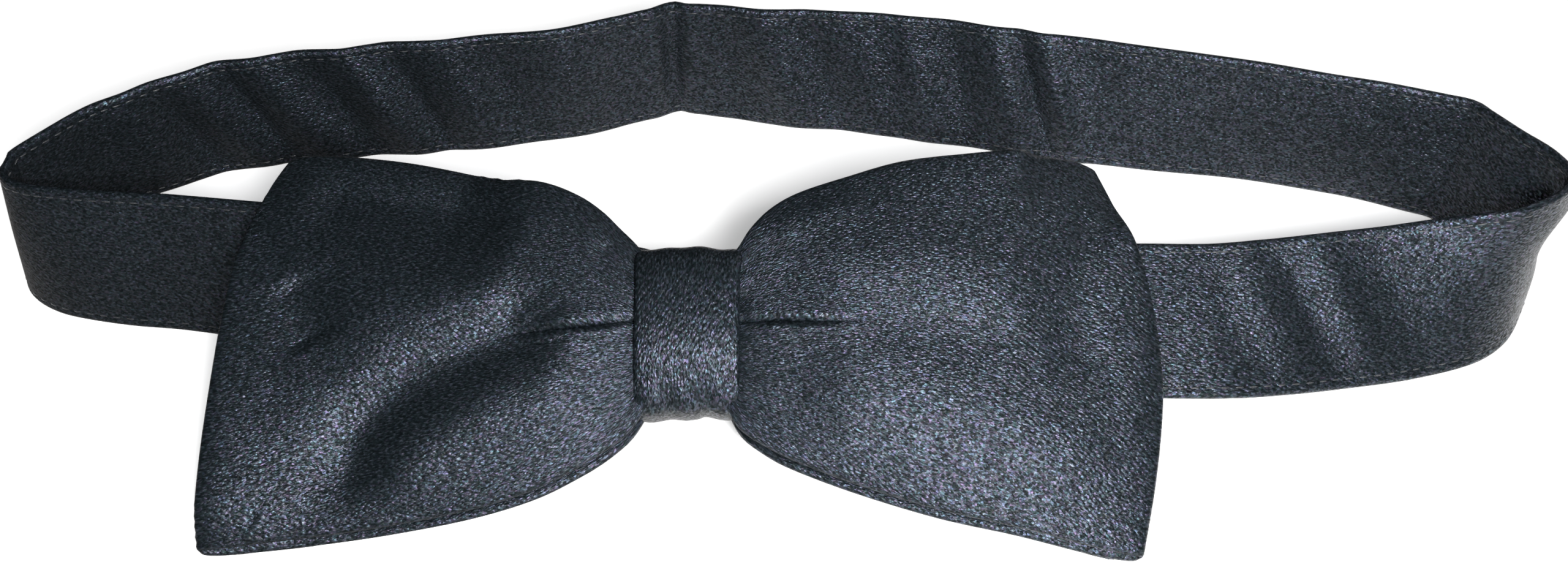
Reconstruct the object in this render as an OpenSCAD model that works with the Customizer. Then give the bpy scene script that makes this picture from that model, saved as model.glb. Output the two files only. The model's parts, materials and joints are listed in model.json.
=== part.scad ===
// Pre-tied banded bow tie, lying on a table with its neck band closed behind it.
// The band stands on its edge, runs round behind the bow and hooks up under the right loop.

/* [Band] */
// Width of the neck band
band_w = 22; // [20:0.5:24]
// Thickness of the band, both satin faces and the interlining
band_t = 1.2; // [1.1:0.1:1.6]
// Thickness of one satin face of the band
satin_t = 0.3; // [0.2:0.05:0.35]
// Gap left in the band at each fold line
fold_gap = 1; // [0.9:0.1:1.5]

/* [Bow] */
// Slope of the bow's plane over the table, in degrees
bow_slope = 31; // [29:1:32]
// Height of the bow's plane over the table along its lower edge line
bow_lift = 3.4; // [3.2:0.1:4]
// Thickness of the satin in a bow loop
loop_satin_t = 0.6; // [0.4:0.1:0.7]
// How far the front ply of a loop stands out in the middle
front_crown = 2.6; // [1.5:0.1:3.5]
// How far the rear ply of a loop hangs back in the middle
rear_belly = 2.6; // [1.5:0.1:2.8]

/* [Knot] */
// Length of the knot along the bow
knot_l = 13; // [11:0.5:14]
// Height of the knot
knot_h = 22; // [20:0.5:24]
// Depth of the knot from front to back
knot_d = 14.3; // [13:0.1:14.4]
// Wall of the satin wrap round the knot
wrap_t = 1; // [0.8:0.1:1.2]

/* [Clasp] */
// Thickness of the stamped metal of the hook and the eye
metal_t = 1; // [0.8:0.1:1]
// Radius of the round bars that the fabric folds over
bar_r = 0.45; // [0.35:0.05:0.5]
// Half width of the hook, the eye and the slider
clasp_half_w = 12.3; // [11.8:0.1:12.4]
// Width of the hook's tongue
tongue_w = 6; // [5:0.5:7]

/* [Hidden] */

satin = [0.05, 0.05, 0.07];
canvas = [0.75, 0.74, 0.70];
thread = [0.10, 0.10, 0.12];
nickel = [0.75, 0.76, 0.78];

// The table point under the bow's lower edge line, and the shift that centres the whole object
bow_y = -45;
centre_x = 1.25;
centre_y = 1.5;

// The clasp and the straight stretch of band lie in the bow's own frame:
// u to the right, v up the slope, w out of the bow's face
band_v = 29.5;
band_back = -10.9;
fold_r = 1.3;
knot_u = -12.6;
knot_v = 26;
knot_front = 4.4;
knot_back = knot_front - knot_d;
eye_u = 0;
hook_u = 17.2;
slider_u = 30;
seam_u = -12.9;
metal_w = band_back - fold_r;
tab_back = band_back - 2 * fold_r - band_t / 2;
lining_t = band_t - 2 * satin_t - 0.2;

// Lower edge of the band: x, y, height over the table, lean from upright towards the inside.
// The route runs anticlockwise seen from above, from fold line to fold line.
straight_y = bow_y + (band_v - band_w / 2) * cos(bow_slope) - band_back * sin(bow_slope);
straight_z = bow_lift + (band_v - band_w / 2) * sin(bow_slope)
           + (band_back - band_t / 2) * cos(bow_slope);
straight_lean = 90 - bow_slope;
left_fold = [-113.3, 5.5];
right_fold = [110.8, 3];
back_fold = [-17, 44];

front_left_route = [
    [left_fold[0], left_fold[1] - fold_gap, 0, 9], [-113.2, 2.6, 0, 9], [-110.8, -0.8, 0, 9],
    [-106.5, -3.4, 0, 11], [-101, -4.9, 0, 13], [-94, -6.2, 0, 14.5], [-86, -7.1, 0, 15], [-74, -9.5, 0, 19],
    [-62, -13, 0.3, 28], [-50, -17.5, 1, 40], [-38, -21.5, 2.2, 52],
    [-28, straight_y, straight_z, straight_lean], [-20, straight_y, straight_z, straight_lean],
    [seam_u - 0.3, straight_y, straight_z, straight_lean]];
front_right_route = [
    [hook_u, straight_y, straight_z, straight_lean], [28, straight_y, straight_z, straight_lean],
    [39, straight_y, straight_z, straight_lean], [50, straight_y, straight_z, straight_lean],
    [61, straight_y, straight_z, straight_lean], [70, -21.6, 2, 54], [79, -19.4, 0.9, 48],
    [89, -17, 0.2, 42], [98, -14, 0, 34], [104, -9.8, 0, 22], [107.8, -4.3, 0, 8],
    [110, 0, 0, 2], [right_fold[0], right_fold[1] - fold_gap, 0, 0]];
rear_right_route = [
    [right_fold[0], right_fold[1] + fold_gap, 0, 0], [109.2, 7.4, 0, -1], [106, 11.4, 0, -2],
    [102.8, 15.8, 0, -3], [101.2, 17.6, 0, -4], [98, 18.9, 0, -4], [90, 22.1, 0, -3],
    [82, 24.3, 0, -3], [73, 26.4, 0, -4], [63, 28, 0, -6], [51, 30, 0, -9],
    [38, 32.5, 0, -11], [26, 35, 0, -12], [13, 38, 0, -9], [0, 40, 0, -5], [-9, 42, 0, -2],
    [back_fold[0] + fold_gap, back_fold[1] - 0.3, 0, 0]];
rear_left_route = [
    [back_fold[0] - fold_gap, back_fold[1] - 0.4, 0, 0], [-22, 42, 0, 0], [-29, 39, 0, 0],
    [-39, 36, 0, 0], [-52, 34, 0, 0], [-68, 32.3, 0, 1], [-83, 30, 0, 2], [-91, 27.6, 0, 4],
    [-97, 24.7, 0, 7], [-104, 20.2, 0, 8], [-110.3, 13, 0, 9], [-113.2, 8.5, 0, 9],
    [left_fold[0], left_fold[1] + fold_gap, 0, 9]];

// Outlines of the two loops in the bow's plane, from the knot outwards and from bottom to top
left_bottom = [[-21.5, 12], [-26, 8.5], [-32, 5.5], [-40, 3], [-50, 1], [-60, -0.5], [-74, -2]];
left_top = [[-21.5, 39], [-24, 41.5], [-28, 44], [-34, 46], [-42, 47.7], [-51, 49.4],
            [-60, 50.5], [-67.5, 50.5]];
left_outer = [[-74, -2], [-74, 8], [-74, 18], [-73, 28.5], [-72, 36], [-69.5, 45.5],
              [-67.5, 50.5]];
right_bottom = [[-3.7, 12], [2, 9], [10, 6], [20, 3], [30, 0.7], [38, -1], [45, -2.8]];
right_top = [[-3.7, 39], [-1.5, 42], [2, 44], [8.5, 46.3], [16, 48.5], [24, 49.6], [32, 50.2],
             [42, 48.7]];
right_outer = [[45, -2.8], [47, 6], [48.5, 14], [48.8, 20], [48.2, 28.5], [46.5, 37],
               [44, 43.5], [42, 48.7]];

// Depth of the two plies of a loop along its edges and where it enters the knot
edge_front = 0.4;
edge_rear = -1.9;
root_front = 1.6;
root_rear = -4.2;
ply_gap = 0.1;
loop_lining_t = 0.5;

function blend_point(p0, p1, p2, p3, f) =
    0.5 * (2 * p1 + (p2 - p0) * f + (2 * p0 - 5 * p1 + 4 * p2 - p3) * f * f
           + (3 * p1 - p0 - 3 * p2 + p3) * f * f * f);

// Point at fraction f of a smooth curve through all the points
function curve(points, f) =
    let (n = len(points) - 1, g = f * n, i = min(floor(g), n - 1))
    blend_point(points[max(i - 1, 0)], points[i], points[i + 1], points[min(i + 2, n)], g - i);

function unit(v) = v / norm(v);
function mix(a, b, f) = a + (b - a) * f;
function split_quad(q) = [[q[0], q[1], q[2]], [q[0], q[2], q[3]]];
function triangles(quads) = [for (q = quads) each split_quad(q)];

// Four corners of the band's section at fraction f of its route
function band_section(route, f, width, thick) =
    let (p = curve(route, f),
         ahead = curve(route, min(f + 0.01, 1)),
         behind = curve(route, max(f - 0.01, 0)),
         along = unit([ahead[0] - behind[0], ahead[1] - behind[1], 0]),
         inside = [-along[1], along[0], 0],
         up = inside * sin(p[3]) + [0, 0, cos(p[3])],
         out = cross(along, up),
         foot = [p[0], p[1], p[2] + abs(sin(p[3])) * band_t / 2] + up * (band_w - width) / 2)
    [foot - out * thick / 2, foot + out * thick / 2,
     foot + up * width + out * thick / 2, foot + up * width - out * thick / 2];

// Side face k of a band between two sections. It starts so that both broad faces
// of a twisted band are cut along the same diagonal, which keeps its thickness even.
function side_quad(a, stride, k) =
    let (m = (k + 1) % 4)
    k < 2 ? [a + k, a + m, a + stride + m, a + stride + k]
          : [a + m, a + stride + m, a + stride + k, a + k];

// Satin band: a flat tube, open at both ends
module satin_band(route, steps) {
    points = [for (i = [0:steps]) each concat(
        band_section(route, i / steps, band_w, band_t),
        band_section(route, i / steps, band_w - 2 * satin_t, band_t - 2 * satin_t))];
    last = 8 * steps;
    quads = concat(
        [for (i = [0:steps - 1], k = [0:3]) side_quad(8 * i, 8, k)],
        [for (i = [0:steps - 1], k = [0:3]) let (q = side_quad(8 * i + 4, 8, k))
            [q[0], q[3], q[2], q[1]]],
        [for (k = [0:3]) let (m = (k + 1) % 4) [4 + k, 4 + m, m, k]],
        [for (k = [0:3]) let (m = (k + 1) % 4)
            [last + k, last + m, last + 4 + m, last + 4 + k]]);
    polyhedron(points, triangles(quads));
}

// Interlining inside the band: a solid strip
module lining_band(route, steps) {
    points = [for (i = [0:steps])
        each band_section(route, i / steps, band_w - 2 * satin_t - 0.4, lining_t)];
    last = 4 * steps;
    quads = concat(
        [for (i = [0:steps - 1], k = [0:3]) side_quad(4 * i, 4, k)],
        [[3, 2, 1, 0], [last, last + 1, last + 2, last + 3]]);
    polyhedron(points, triangles(quads));
}

// Sheet of even thickness on a grid of middle points
module sheet(grid, thick) {
    n = len(grid) - 1;
    m = len(grid[0]) - 1;
    row = m + 1;
    normals = [for (i = [0:n]) [for (j = [0:m])
        unit(cross(grid[min(i + 1, n)][j] - grid[max(i - 1, 0)][j],
                   grid[i][min(j + 1, m)] - grid[i][max(j - 1, 0)]))]];
    upper = [for (i = [0:n], j = [0:m]) grid[i][j] + normals[i][j] * thick / 2];
    lower = [for (i = [0:n], j = [0:m]) grid[i][j] - normals[i][j] * thick / 2];
    under = (n + 1) * row;
    quads = concat(
        [for (i = [0:n - 1], j = [0:m - 1]) let (a = i * row + j)
            [a, a + 1, a + row + 1, a + row]],
        [for (i = [0:n - 1], j = [0:m - 1]) let (a = under + i * row + j)
            [a, a + row, a + row + 1, a + 1]],
        [for (i = [0:n - 1]) let (a = i * row) [a, a + row, under + a + row, under + a]],
        [for (i = [0:n - 1]) let (a = i * row + m)
            [a + row, a, under + a, under + a + row]],
        [for (j = [0:m - 1]) [j + 1, j, under + j, under + j + 1]],
        [for (j = [0:m - 1]) let (a = n * row + j) [a, a + 1, under + a + 1, under + a]]);
    polyhedron(concat(upper, lower), triangles(quads));
}

module on_table() {
    translate([centre_x, centre_y, 0]) children();
}

module in_bow_frame() {
    on_table() translate([0, bow_y, bow_lift]) rotate([bow_slope, 0, 0]) children();
}

// Place in the bow's frame of a point on a loop: a runs outwards, t from bottom to top,
// side is 1 on the front ply and -1 on the rear one, inset moves it in from the satin
function loop_point(bottom, top, outer, a, t, side, inset) =
    let (flat = mix(curve(bottom, a), curve(top, a), t)
              + a * (curve(outer, t) - mix(curve(bottom, 1), curve(top, 1), t)),
         swell = sin(180 * t) * sin(180 * pow(a, 0.8)),
         root = pow(1 - a, 3),
         front = edge_front + front_crown * swell + root_front * root,
         rear = edge_rear - rear_belly * swell + root_rear * root,
         half = (front - rear) / 2 * sqrt(1 - pow(a, 8)) - inset)
    [flat[0], flat[1], (front + rear) / 2 + side * half];

// Satin of a loop: front ply, outer fold and rear ply in one sheet
module satin_loop(bottom, top, outer) {
    steps = 10;
    rows = 8;
    grid = [for (i = [0:2 * steps]) [for (j = [0:rows])
        loop_point(bottom, top, outer, sin(90 * min(i, 2 * steps - i) / steps), j / rows,
                   i <= steps ? 1 : -1, 0)]];
    sheet(grid, loop_satin_t);
}

// Interlining of a loop: one ply behind the front satin and one before the rear satin
module lining_loop(bottom, top, outer) {
    steps = 7;
    rows = 6;
    reach = 0.86;
    margin = 0.03;
    inset = loop_satin_t / 2 + ply_gap + loop_lining_t / 2;
    for (side = [-1, 1]) {
        sheet([for (i = [0:steps]) [for (j = [0:rows])
            loop_point(bottom, top, outer, mix(0.01, reach, i / steps),
                       mix(margin, 1 - margin, j / rows), side, inset)]],
            loop_lining_t);
    }
}

module rounded_rect(w, h, r) {
    square([w - 2 * r, h], center = true);
    square([w, h - 2 * r], center = true);
    for (x = [-1, 1], y = [-1, 1]) {
        translate([x * (w / 2 - r), y * (h / 2 - r)]) circle(r, $fn = 40);
    }
}

// Section across the knot, h by d, carried along u for a length
module knot_section(h, d, r, length) {
    translate([knot_u, knot_v, (knot_front + knot_back) / 2]) rotate([0, 90, 0])
        linear_extrude(length, center = true) rounded_rect(d, h, r);
}

module knot_ring(h, d, r, wall, length) {
    difference() {
        knot_section(h, d, r, length);
        knot_section(h - 2 * wall, d - 2 * wall, r - wall, length + 1);
    }
}

// Band folded over a bar at u = bar_u, running to u = end_u in two layers or in its back layer,
// seen along v
module fold_profile(bar_u, end_u, thick, two_layers) {
    low = min(bar_u, end_u);
    long = abs(end_u - bar_u);
    away = end_u > bar_u ? -1 : 1;
    translate([bar_u, -fold_r]) difference() {
        circle(fold_r + thick / 2, $fn = 48);
        circle(fold_r - thick / 2, $fn = 48);
        translate([away > 0 ? -4 : 0, -4]) square([4, 8]);
    }
    translate([low, -2 * fold_r - thick / 2]) square([long, thick]);
    if (two_layers) {
        translate([low, -thick / 2]) square([long, thick]);
    }
}

// Carries a profile drawn in u and w, measured from the band's middle, along v
module across_band(width) {
    translate([0, band_v, band_back]) rotate([90, 0, 0])
        linear_extrude(width, center = true) children();
}

module folded_satin(bar_u, end_u, width, two_layers) {
    difference() {
        across_band(width) fold_profile(bar_u, end_u, band_t, two_layers);
        across_band(width - 2 * satin_t)
            fold_profile(bar_u, end_u + (end_u > bar_u ? 1 : -1), band_t - 2 * satin_t,
                         two_layers);
        if (!two_layers) {
            across_band(width - 2 * satin_t)
                translate([bar_u - 0.5, -(band_t - 2 * satin_t) / 2])
                    square([1, band_t - 2 * satin_t]);
        }
    }
}

// Box given by its limits in u, v from the band's middle, and w from the metal's plane
module metal_box(u0, u1, v0, v1, w0, w1) {
    translate([u0, band_v + v0, metal_w + w0]) cube([u1 - u0, v1 - v0, w1 - w0]);
}

module cross_bar(u, w, half_length) {
    translate([u, band_v, w]) rotate([90, 0, 0])
        cylinder(h = 2 * half_length, r = bar_r, center = true, $fn = 32);
}

// Radius of a surface stitch, half the satin's thickness
stitch_r = 0.15;

// Row of short surface stitches across the band, their axes at w
module stitch_row(u, w, half_width, pitch, length) {
    count = floor(2 * half_width / pitch);
    for (i = [0:count]) {
        translate([u, band_v - half_width + i * pitch, w]) rotate([0, 90, 0])
            cylinder(h = length, r = stitch_r, center = true, $fn = 16);
    }
}

module left_loop() {
    color(satin) in_bow_frame() satin_loop(left_bottom, left_top, left_outer);
}

module left_loop_interlining() {
    color(canvas) in_bow_frame() lining_loop(left_bottom, left_top, left_outer);
}

module right_loop() {
    color(satin) in_bow_frame() satin_loop(right_bottom, right_top, right_outer);
}

module right_loop_interlining() {
    color(canvas) in_bow_frame() lining_loop(right_bottom, right_top, right_outer);
}

waist_h = 15;
waist_d = 9.5;
thread_t = 0.5;

module bow_waist() {
    color(satin) in_bow_frame() knot_section(waist_h, waist_d, 3, knot_l - 1);
}

module gather_thread() {
    turns = 4;
    pitch = 0.9;
    color(thread) in_bow_frame() {
        for (i = [0:turns - 1]) {
            translate([(i - (turns - 1) / 2) * pitch, 0, 0])
                knot_ring(waist_h + 2 * thread_t + 0.1, waist_d + 2 * thread_t + 0.1, 3.5,
                          thread_t, thread_t);
        }
    }
}

module knot_wrap() {
    color(satin) in_bow_frame() knot_ring(knot_h, knot_d, 5, wrap_t, knot_l);
}

module knot_interlining() {
    slack = wrap_t + 0.1;
    color(canvas) in_bow_frame()
        knot_ring(knot_h - 2 * slack, knot_d - 2 * slack, 5 - slack, 0.6, knot_l - 1);
}

module knot_back_stitches() {
    color(thread) in_bow_frame() {
        for (u = [-11.4, -9]) {
            stitch_row(u, tab_back + stitch_r, 8.4, 2.4, 1.5);
        }
    }
}

module strap_front_left() {
    color(satin) on_table() satin_band(front_left_route, 28);
}

module strap_front_left_interlining() {
    color(canvas) on_table() lining_band(front_left_route, 28);
}

module strap_rear_left() {
    color(satin) on_table() satin_band(rear_left_route, 24);
}

module strap_rear_left_interlining() {
    color(canvas) on_table() lining_band(rear_left_route, 24);
}

module strap_rear_right() {
    color(satin) on_table() satin_band(rear_right_route, 32);
}

module strap_rear_right_interlining() {
    color(canvas) on_table() lining_band(rear_right_route, 32);
}

module strap_front_right() {
    color(satin) on_table() satin_band(front_right_route, 24);
}

module strap_front_right_interlining() {
    color(canvas) on_table() lining_band(front_right_route, 24);
}

tail_end_u = slider_u - 2;

module strap_tail() {
    color(satin) in_bow_frame() folded_satin(hook_u, tail_end_u, band_w, false);
}

module strap_tail_interlining() {
    color(canvas) in_bow_frame() across_band(band_w - 2 * satin_t - 0.4)
        fold_profile(hook_u, tail_end_u, lining_t, false);
}

end_loop_r = 1.2;

module tail_end_loop() {
    color(satin) in_bow_frame() across_band(band_w - 1) {
        translate([slider_u, -2 * fold_r]) difference() {
            circle(end_loop_r, $fn = 40);
            circle(bar_r + 0.1, $fn = 32);
        }
    }
}

module tail_stitches() {
    color(thread) in_bow_frame()
        stitch_row(slider_u, band_back - 2 * fold_r - end_loop_r, 9.6, 2.4, 1.2);
}

module slider_frame() {
    plate_front = 1.7;
    plate_t = 0.8;
    half_u = 5.5;
    window_half_u = 3.9;
    post_half_u = 1.4;
    edge_v = band_w / 2 + 0.3;
    color(nickel) in_bow_frame() {
        for (side = [-1, 1]) {
            u0 = side > 0 ? window_half_u : -half_u;
            translate([slider_u + u0, band_v - clasp_half_w, band_back + plate_front - plate_t])
                cube([half_u - window_half_u, 2 * clasp_half_w, plate_t]);
            v0 = side > 0 ? edge_v : -clasp_half_w;
            translate([slider_u - half_u, band_v + v0, band_back + plate_front - plate_t])
                cube([2 * half_u, clasp_half_w - edge_v, plate_t]);
            translate([slider_u - post_half_u, band_v + v0, band_back - 2 * fold_r - bar_r])
                cube([2 * post_half_u, clasp_half_w - edge_v, plate_front + 2 * fold_r + bar_r]);
        }
        cross_bar(slider_u, band_back - 2 * fold_r, edge_v + 0.1);
    }
}

eye_slot = [4, 8.6];
eye_end = 10.2;
tongue_v = -7.5;

module hook() {
    plate = [11, 14.6];
    upright_u = eye_slot[0] + 0.3;
    lip = 0.5;
    run_back = -0.8 - metal_t;
    tip_front = 1.6;
    edge_v = band_w / 2 + 0.3;
    half_t = metal_t / 2;
    tongue_end = tongue_v + tongue_w;
    color(nickel) in_bow_frame() {
        metal_box(plate[0], plate[1], -clasp_half_w, clasp_half_w, -half_t, half_t);
        for (v0 = [-clasp_half_w, edge_v]) {
            metal_box(plate[0], hook_u + 0.6, v0, v0 + clasp_half_w - edge_v, -half_t, half_t);
        }
        cross_bar(hook_u, metal_w, edge_v + 0.1);
        metal_box(plate[0], plate[0] + metal_t, tongue_v, tongue_end, run_back, half_t);
        metal_box(upright_u, plate[0] + metal_t, tongue_v, tongue_end, run_back,
                  run_back + metal_t);
        metal_box(upright_u, upright_u + metal_t, tongue_v, tongue_end, run_back, tip_front);
        metal_box(upright_u, upright_u + metal_t + lip, tongue_v, tongue_end,
                  tip_front - 0.8, tip_front);
    }
}

module eye() {
    slot_v = 8;
    tab_window = 10.6;
    half_t = metal_t / 2;
    middle_u = 2.4;
    color(nickel) in_bow_frame() {
        difference() {
            metal_box(eye_u, eye_end, -clasp_half_w, clasp_half_w, -half_t, half_t);
            metal_box(eye_u - 1, middle_u, -tab_window, tab_window, -2, 2);
            metal_box(eye_slot[0], eye_slot[1], -slot_v, slot_v, -2, 2);
        }
        cross_bar(eye_u, metal_w, tab_window + 0.1);
    }
}

tab_w = 20;

module eye_tab() {
    color(satin) in_bow_frame() folded_satin(eye_u, seam_u, tab_w, true);
}

module eye_tab_interlining() {
    color(canvas) in_bow_frame() across_band(tab_w - 2 * satin_t - 0.4)
        fold_profile(eye_u, seam_u, lining_t, true);
}

module eye_tab_stitches() {
    color(thread) in_bow_frame()
        stitch_row(-2.2, tab_back + stitch_r, 8.4, 2.4, 1.5);
}

left_loop();
left_loop_interlining();
right_loop();
right_loop_interlining();
bow_waist();
gather_thread();
knot_wrap();
knot_interlining();
knot_back_stitches();
strap_front_left();
strap_front_left_interlining();
strap_rear_left();
strap_rear_left_interlining();
strap_rear_right();
strap_rear_right_interlining();
strap_front_right();
strap_front_right_interlining();
strap_tail();
strap_tail_interlining();
tail_end_loop();
tail_stitches();
slider_frame();
hook();
eye();
eye_tab();
eye_tab_interlining();
eye_tab_stitches();
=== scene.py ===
import json
import math

import bpy
import numpy as np
from bpy.props import FloatProperty, FloatVectorProperty, PointerProperty
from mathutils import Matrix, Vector


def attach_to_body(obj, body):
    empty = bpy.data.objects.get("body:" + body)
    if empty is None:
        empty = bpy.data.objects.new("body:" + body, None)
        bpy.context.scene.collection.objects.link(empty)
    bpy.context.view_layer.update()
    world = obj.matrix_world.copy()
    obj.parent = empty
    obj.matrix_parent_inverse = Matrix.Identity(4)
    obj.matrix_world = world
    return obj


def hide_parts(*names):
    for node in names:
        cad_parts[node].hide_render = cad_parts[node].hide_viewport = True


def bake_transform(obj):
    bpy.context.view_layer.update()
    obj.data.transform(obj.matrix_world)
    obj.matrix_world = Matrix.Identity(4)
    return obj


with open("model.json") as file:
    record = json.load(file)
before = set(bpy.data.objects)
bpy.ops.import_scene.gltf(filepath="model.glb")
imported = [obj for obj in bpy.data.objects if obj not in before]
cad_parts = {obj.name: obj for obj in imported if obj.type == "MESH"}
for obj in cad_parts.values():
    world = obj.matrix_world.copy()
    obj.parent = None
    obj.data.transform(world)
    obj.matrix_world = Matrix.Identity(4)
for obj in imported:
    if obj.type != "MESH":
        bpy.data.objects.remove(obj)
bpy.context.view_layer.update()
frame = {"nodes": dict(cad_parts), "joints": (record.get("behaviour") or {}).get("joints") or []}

bl_info = {
    "name": "Banded bow tie",
    "version": (1, 0, 0),
    "blender": (4, 5, 0),
    "location": "View3D > Sidebar > Bow Tie",
    "description": "Builds a satin bow tie with its neck band, clasp and adjuster",
    "category": "Object",
}

MM = 0.001


def joint(name):
    """The joint of that name from the frame."""
    return next(j for j in frame["joints"] if j["name"] == name)


# ---------------------------------------------------------------- places

# The bow's own frame, from the left loop's hinge: u to the right, v up the slope, w out of the
# face.
FLEX = joint("left_wing_flex")
FLEX_UVW = np.array([-24.5, 26.0, -2.05])
U_AXIS = np.array([1.0, 0.0, 0.0])
V_AXIS = np.array(FLEX["axis"]) / np.linalg.norm(FLEX["axis"])
W_AXIS = np.cross(U_AXIS, V_AXIS)
BOW_AXES = np.stack([U_AXIS, V_AXIS, W_AXIS])
BOW_ORIGIN = np.array(FLEX["pos_m"]) / MM - FLEX_UVW @ BOW_AXES
CENTRE_X = BOW_ORIGIN[0]
CENTRE_Y = joint("left_bend")["pos_m"][1] / MM - 5.5

# Middle of the band where it runs straight behind the bow, and the radius of a fold over a bar.
BAND_V = 29.5
BAND_W = -10.9
FOLD_R = 1.3
# How far an interlining stays back from each edge of its satin.
LINING_MARGIN = 1.2
# Where the hook's bar, the slider's bar and the tab's seam stand along the bow.
HOOK_U = 17.2
SLIDER_U = 30.0
SEAM_U = -12.9
STRAIGHT_LEAN = 90.0 - math.degrees(math.atan2(V_AXIS[2], V_AXIS[1]))


def from_bow(uvw):
    """Points of the bow's frame as points of the row frame, in mm: origin + u U + v V + w W."""
    return BOW_ORIGIN + np.asarray(uvw, float) @ BOW_AXES


FOOT = from_bow([0.0, BAND_V - 11.0, BAND_W - 0.6])
FOOT_Y = float(FOOT[1]) - CENTRE_Y
FOOT_Z = float(FOOT[2])

# Lower edge of the band, anticlockwise from the hook: x, y, height, and the lean from upright to
# the inside.
BAND_ROUTE = [
    (HOOK_U, FOOT_Y, FOOT_Z, STRAIGHT_LEAN), (28, FOOT_Y, FOOT_Z, STRAIGHT_LEAN),
    (39, FOOT_Y, FOOT_Z, STRAIGHT_LEAN), (50, FOOT_Y, FOOT_Z, STRAIGHT_LEAN),
    (61, FOOT_Y, FOOT_Z, STRAIGHT_LEAN), (70, -21.6, 2, 54), (79, -19.4, 0.9, 48),
    (89, -17, 0.2, 42), (98, -14, 0, 34), (104, -9.8, 0, 22), (107.8, -4.3, 0, 8),
    (110, 0, 0, 2), (110.8, 3, 0, 0), (109.2, 7.4, 0, -1), (106, 11.4, 0, -2),
    (102.8, 15.8, 0, -3), (101.2, 17.6, 0, -4), (98, 18.9, 0, -4), (90, 22.1, 0, -3),
    (82, 24.3, 0, -3), (73, 26.4, 0, -4), (63, 28, 0, -6), (51, 30, 0, -9),
    (38, 32.5, 0, -11), (26, 35, 0, -12), (13, 38, 0, -9), (0, 40, 0, -5),
    (-9, 42, 0, -2), (-15.5, 43.6, 0, 0), (-17, 44, 0, 0), (-18.2, 43.7, 0, 0),
    (-22, 42, 0, 0), (-29, 39, 0, 0), (-39, 36, 0, 0), (-52, 34, 0, 0), (-68, 32.3, 0, 1),
    (-83, 30, 0, 2), (-91, 27.6, 0, 4), (-97, 24.7, 0, 7), (-104, 20.2, 0, 8),
    (-110.3, 13, 0, 9), (-113.2, 8.5, 0, 9), (-113.3, 5.5, 0, 9), (-113.2, 2.6, 0, 9),
    (-110.8, -0.8, 0, 9), (-106.5, -3.4, 0, 11),
    (-101, -4.9, 0, 13), (-94, -6.2, 0, 14.5), (-86, -7.1, 0, 15), (-74, -9.5, 0, 19),
    (-62, -13, 0.3, 28), (-50, -17.5, 1, 40), (-38, -21.5, 2.2, 52),
    (-28, FOOT_Y, FOOT_Z, STRAIGHT_LEAN), (-20, FOOT_Y, FOOT_Z, STRAIGHT_LEAN),
    (SEAM_U, FOOT_Y, FOOT_Z, STRAIGHT_LEAN),
]
RIGHT_BEND, LEFT_BEND = 12, 42

# The band's pieces between two stations of the route (their numbers in the list), the bodies
# they ride on, the CAD nodes they stand for, and where a piece that bends starts and ends.
BAND_PIECES = [
    ("band_front_right", 0, 8, ["front_right_band"], "strap_front_right", None),
    ("band_right_bend", 8, 18, ["front_right_band", "rear_right_band"], None, ("y", -1.0, 9.0)),
    ("band_rear_right", 18, 23, ["rear_right_band"], "strap_rear_right", None),
    ("band_back_fold", 23, 33, ["rear_right_band", "rear_left_band"], None, ("x", -12.0, -23.0)),
    ("band_rear_left", 33, 37, ["rear_left_band"], "strap_rear_left", None),
    ("band_left_bend", 37, 47, ["rear_left_band", "bow"], None, ("y", 13.0, 1.0)),
    ("band_front_left", 47, 55, ["bow"], "strap_front_left", None),
]

# Soft folds of the band: x of the fold at mid height, on the front (f) or rear (r) run,
# slant in mm of x over the band's width, half width along the band, height outwards.
BAND_FOLDS = [
    (-99.0, "r", -4.0, 3.5, -0.7), (-93.5, "r", -7.0, 2.2, 1.0), (-88.0, "r", -8.0, 2.4, -1.0),
    (-83.0, "r", -8.0, 1.8, 0.8), (-77.5, "r", -9.0, 2.8, -1.1), (-70.5, "r", -9.0, 2.6, 1.0),
    (-64.0, "r", -9.0, 2.6, -1.2), (-58.0, "r", -7.0, 2.2, 0.9), (-51.0, "r", -5.0, 3.4, -0.9),
    (-43.0, "r", -5.0, 3.6, 0.6), (-34.0, "r", -4.0, 3.4, -0.7), (-27.0, "r", -2.0, 2.4, 0.5),
    (-21.4, "r", 0.0, 1.1, -0.45), (-18.6, "r", 0.0, 1.3, 0.6), (-15.4, "r", 0.0, 1.1, -0.45),
    (-9.0, "r", -3.0, 3.0, 0.5), (-1.0, "r", -7.0, 3.2, -0.9), (6.0, "r", -7.0, 2.6, 0.7),
    (13.0, "r", -6.0, 3.4, -0.5), (21.0, "r", -5.0, 3.0, -0.8), (28.0, "r", -6.0, 3.0, 0.7),
    (35.0, "r", -7.0, 2.6, -0.8), (39.5, "r", -8.0, 1.6, 0.9), (43.5, "r", -8.0, 1.6, -1.2),
    (50.0, "r", -6.0, 4.0, 0.5), (66.0, "r", -4.0, 6.0, 0.3), (84.0, "r", -3.0, 5.0, -0.3),
    (62.0, "f", -3.0, 3.0, -0.4), (69.0, "f", -5.0, 3.0, 0.3), (75.0, "f", -5.0, 2.2, -0.4),
    (80.5, "f", -5.0, 2.2, 0.4), (88.0, "f", -5.0, 3.5, -0.3), (97.0, "f", -4.0, 4.0, 0.2),
    (-101.0, "f", 3.0, 4.0, 0.3), (-90.0, "f", 3.0, 4.0, -0.3),
]

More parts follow.
